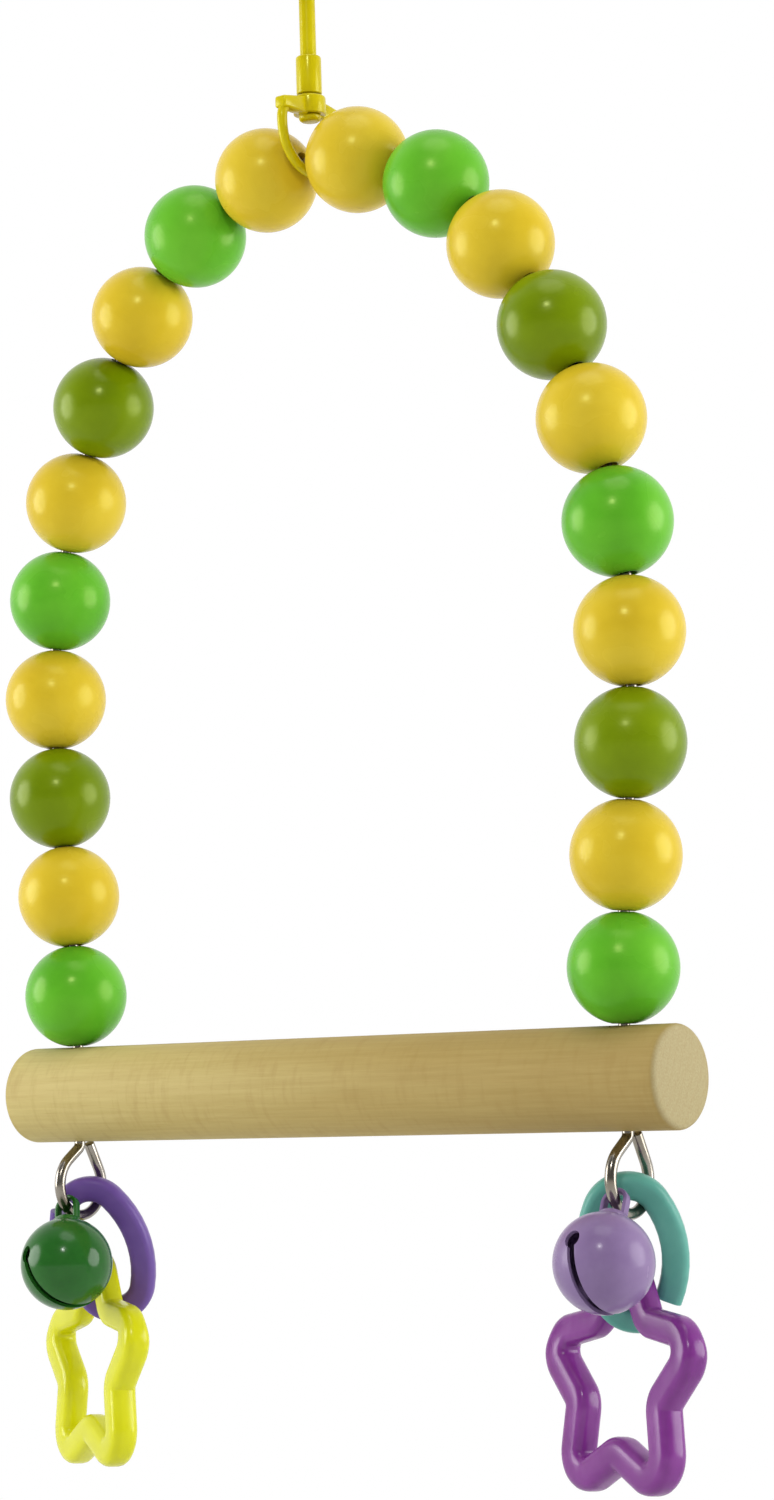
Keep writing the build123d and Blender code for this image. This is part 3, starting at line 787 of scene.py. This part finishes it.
def makeShell(side, place, slotPlace):
    bm = bmesh.new()
    radius = bell["radius"] * mm
    inside = (bell["radius"] - bell["wall"]) * mm
    bmesh.ops.create_uvsphere(bm, u_segments=96, v_segments=64, radius=radius)
    hollow = bmesh.ops.create_uvsphere(bm, u_segments=64, v_segments=40, radius=inside)
    bmesh.ops.transform(bm, verts=bm.verts, matrix=place)
    inner = {f for v in hollow["verts"] for f in v.link_faces}
    bmesh.ops.reverse_faces(bm, faces=list(inner))
    shadeSmooth(bm)
    shell = asObject(bm, f"bell_{side}_shell")
    slot = hanging[side]["bell"]
    shell.data.materials.append(finishes[slot])

    bm = bmesh.new()
    slitSize = Matrix.Diagonal((radius * 3, bell["slot"] * mm, radius * 2, 1))
    bmesh.ops.create_cube(bm, size=1.0, matrix=slotPlace @ Matrix.Translation((0, 0, -radius)) @ slitSize)
    slit = loose(bm, "slit")
    bm = bmesh.new()
    hole = bell["hole"] / 2 * mm
    bmesh.ops.create_cone(bm, cap_ends=True, segments=40, radius1=hole, radius2=hole, depth=radius * 3,
                          matrix=slotPlace @ Matrix.Rotation(radians(90), 4, "Y"))
    carve(shell, [slit, loose(bm, "drill")])
    shell.data.set_sharp_from_angle(angle=radians(bell["sharp"]))
    carry(shell, f"bell_{side}", f"bell_shell_{side}")


def makeStrap(side, place):
    # a flat band up one leg, over and down the other
    bm = bmesh.new()
    top = bell["drop"] + arch["wire"] / 2 + bell["strapGap"]
    bend = bell["strapHalf"] + bell["strapThick"] / 2
    inside = bell["radius"] - bell["wall"]
    foot = sqrt(inside ** 2 - (bell["strapHalf"] + bell["strapThick"]) ** 2) - bell["strapSink"]
    leg = (top - bell["strapHalf"] - foot) * mm
    point = Vector((bend, 0, foot)) * mm
    heading, inward = (0, 0, 1), (-1, 0, 0)
    edges = strandLoop(bm, bell["strapThick"] * mm, bell["strapWidth"] * mm, bell["strapEase"] * mm, point,
                       heading, inward)
    moves = [(leg,), (bend * mm, 180), (leg,)]
    edges, point, heading = drawOut(bm, edges, point, heading, inward, moves, fine=7.0)
    capEnd(bm, edges)
    # the crown rises to the strap's legs
    low = (sqrt(bell["radius"] ** 2 - bell["crownWide"] ** 2) - bell["crownSink"]) * mm
    high = (bell["radius"] + bell["crownTall"]) * mm
    got = bmesh.ops.create_cone(bm, cap_ends=True, segments=48, radius1=bell["crownWide"] * mm,
                                radius2=bell["crownNarrow"] * mm, depth=high - low,
                                matrix=Matrix.Translation((0, 0, (high + low) / 2)))
    rim = [e for e in edgesOf(got["verts"]) if all(v.co.z > high - touch["sliver"] for v in e.verts)]
    eased(bm, rim, bell["crownEase"] * mm, segments=5)
    bmesh.ops.transform(bm, verts=bm.verts, matrix=place)
    settle(bm, f"bell_{side}_strap", f"bell_{side}", f"bell_loop_{side}", hanging[side]["bell"], sharp=50.0)


def makeBell(side, pivot, down):
    centre = pivot + down * bell["drop"] * mm
    across = Vector((1, 0, 0)) - down * down.x
    angle = radians(hanging[side]["slotWay"])
    slotWay = Vector((cos(angle), sin(angle), 0))
    slotWay = slotWay - down * slotWay.dot(down)
    place = loopAt(centre, -down, across)
    makeShell(side, place, loopAt(centre, -down, slotWay))
    makeStrap(side, place)
    pea = frame["nodes"][f"bell_pea_{side}"].data
    pea.materials.clear()
    pea.materials.append(finishes["pea_metal"])


for side, rest in hanging.items():
    linkPivot = Vector(joints[f"link_{side}_swing"]["pos_m"])
    turn = turnOf(rest["linkYaw"], rest["linkLean"], rest["linkRoll"])
    rise = (link["halfHeight"] - link["strand"] / 2 - arch["wire"] / 2 - rest["linkSlack"]) * mm
    linkMid = linkPivot - turn @ Vector((0, 0, rise))
    makeLink(side, Matrix.Translation(linkMid) @ turn)
    starPivot = Vector(joints[f"star_{side}_swing"]["pos_m"])
    turn = turnOf(rest["starYaw"], rest["starLean"], rest["starRoll"])
    starMid = starPivot - turn @ Vector((rest["starShift"], 0, rest["starRise"])) * mm
    makeStar(side, Matrix.Translation(starMid) @ turn)
    way, lean = radians(rest["bellWay"]), radians(rest["bellLean"])
    down = Vector((cos(way) * sin(lean), sin(way) * sin(lean), -cos(lean)))
    makeBell(side, Vector(joints[f"bell_{side}_swing"]["pos_m"]), down)
print("hanging sets made")

# camera as the photograph was taken, for a 774 by 1500 frame
view = {"at": (0.4161, -0.5325, -0.2332), "yaw": 37.03, "pitch": 5.48, "roll": -1.66, "focal": 3527.0,
        "tall": 1500, "sensor": 36.0, "nearest": 0.01}
yaw, pitch, roll = radians(view["yaw"]), radians(view["pitch"]), radians(view["roll"])
ahead = Vector((-sin(yaw) * cos(pitch), cos(yaw) * cos(pitch), sin(pitch)))
right = Vector((cos(yaw), sin(yaw), 0))
upward = right.cross(ahead)
across = right * cos(roll) + upward * sin(roll)
upright = -right * sin(roll) + upward * cos(roll)
lens = bpy.data.cameras.new("view")
lens.sensor_fit = "VERTICAL"
lens.sensor_height = view["sensor"]
lens.lens = view["focal"] * view["sensor"] / view["tall"]
lens.clip_start = view["nearest"]
camera = bpy.data.objects.new("view", lens)
camera.matrix_world = Matrix.Translation(view["at"]) @ Matrix((across, upright, -ahead)).transposed().to_4x4()
bpy.context.scene.collection.objects.link(camera)
bpy.context.scene.camera = camera

# pale floor well below the hanging stars, white to the camera and to reflections
stage = {"floor": -0.40, "size": 6.0, "grey": 0.80, "rough": 0.9, "shade": 0.45, "shadeTo": 0.05,
         "fade": 0.60}
bm = bmesh.new()
bmesh.ops.create_grid(bm, x_segments=2, y_segments=2, size=stage["size"],
                      matrix=Matrix.Translation((0, 0, stage["floor"])))
floor = loose(bm, "floor")
ground = Finish("floor_white")
ground.set({"Base Color": (stage["grey"], stage["grey"], stage["grey"], 1.0), "Roughness": stage["rough"]})
direct, mirrored = ground.node("ShaderNodeLightPath", out=("Is Camera Ray", "Is Glossy Ray"))
seen = ground.node("ShaderNodeMath", {"operation": "MINIMUM"}, {0: direct + mirrored, 1: 1.0})
# the shadow shows under the swing and fades into the white
x, y, z = ground.split()
seen = seen * ground.span((x * x + y * y) ** 0.5, stage["shadeTo"], stage["fade"], stage["shade"], 1.0)
matt = Term(ground.tree, ground.shader.outputs[0])
white = ground.node("ShaderNodeEmission", sockets={"Color": (1, 1, 1, 1), "Strength": 1.0})
blend = ground.node("ShaderNodeMixShader", sockets={0: seen, 1: matt, 2: white})
ground.tree.links.new(blend.socket, ground.out.inputs[0])
floor.data.materials.append(ground.material)


# soft studio light: a white backdrop behind the swing, the room before it dimmer in reflections
class Backdrop(Finish):
    def __init__(self, name):
        self.world = bpy.data.worlds.new(name)
        self.world.use_nodes = True
        self.tree = self.world.node_tree
        self.tree.nodes.clear()


studio = Backdrop("studio")
bpy.context.scene.world = studio.world
level = {"diffuse": 0.50, "room": 0.20, "roomTo": -0.3, "whiteFrom": 0.5}
direct, through, mirrored = studio.node("ShaderNodeLightPath", out=(
    "Is Camera Ray", "Is Transmission Ray", "Is Glossy Ray"))
behind = studio.node("ShaderNodeVectorMath", {"operation": "DOT_PRODUCT"}, {
    0: studio.node("ShaderNodeTexCoord", out="Generated"), 1: ahead}, out="Value")
behind = studio.span(behind, level["roomTo"], level["whiteFrom"], level["room"], 1.0)
strength = level["diffuse"] + (direct + through) * (1 - level["diffuse"])
strength = strength + mirrored * (behind - level["diffuse"])
sky = studio.node("ShaderNodeBackground", sockets={"Color": (1, 1, 1, 1), "Strength": strength})
studio.tree.links.new(sky.socket, studio.tree.nodes.new("ShaderNodeOutputWorld").inputs[0])

lamps = {
    "left box": {"side": -0.79, "near": -0.02, "up": 0.10, "size": 0.52, "power": 4.0},
    "right box": {"side": 0.80, "near": 0.14, "up": 0.08, "size": 0.58, "power": 4.8},
    "front": {"side": -0.12, "near": 0.74, "up": 0.50, "size": 0.085, "power": 1.7},
    "top": {"side": 0.05, "near": 0.20, "up": 0.90, "size": 0.60, "power": 2.2},
}
middle = Vector((0, 0, -0.15))
near = Vector((sin(yaw), -cos(yaw), 0))
for name, lamp in lamps.items():
    data = bpy.data.lights.new(name, "AREA")
    data.shape = "DISK"
    data.size = lamp["size"]
    data.energy = lamp["power"]
    light = bpy.data.objects.new(name, data)
    light.location = middle + right * lamp["side"] + near * lamp["near"] + Vector((0, 0, lamp["up"]))
    light.rotation_euler = (middle - light.location).to_track_quat("-Z", "Y").to_euler()
    bpy.context.scene.collection.objects.link(light)
bpy.context.scene.view_settings.view_transform = "Standard"
print("stage and light set")
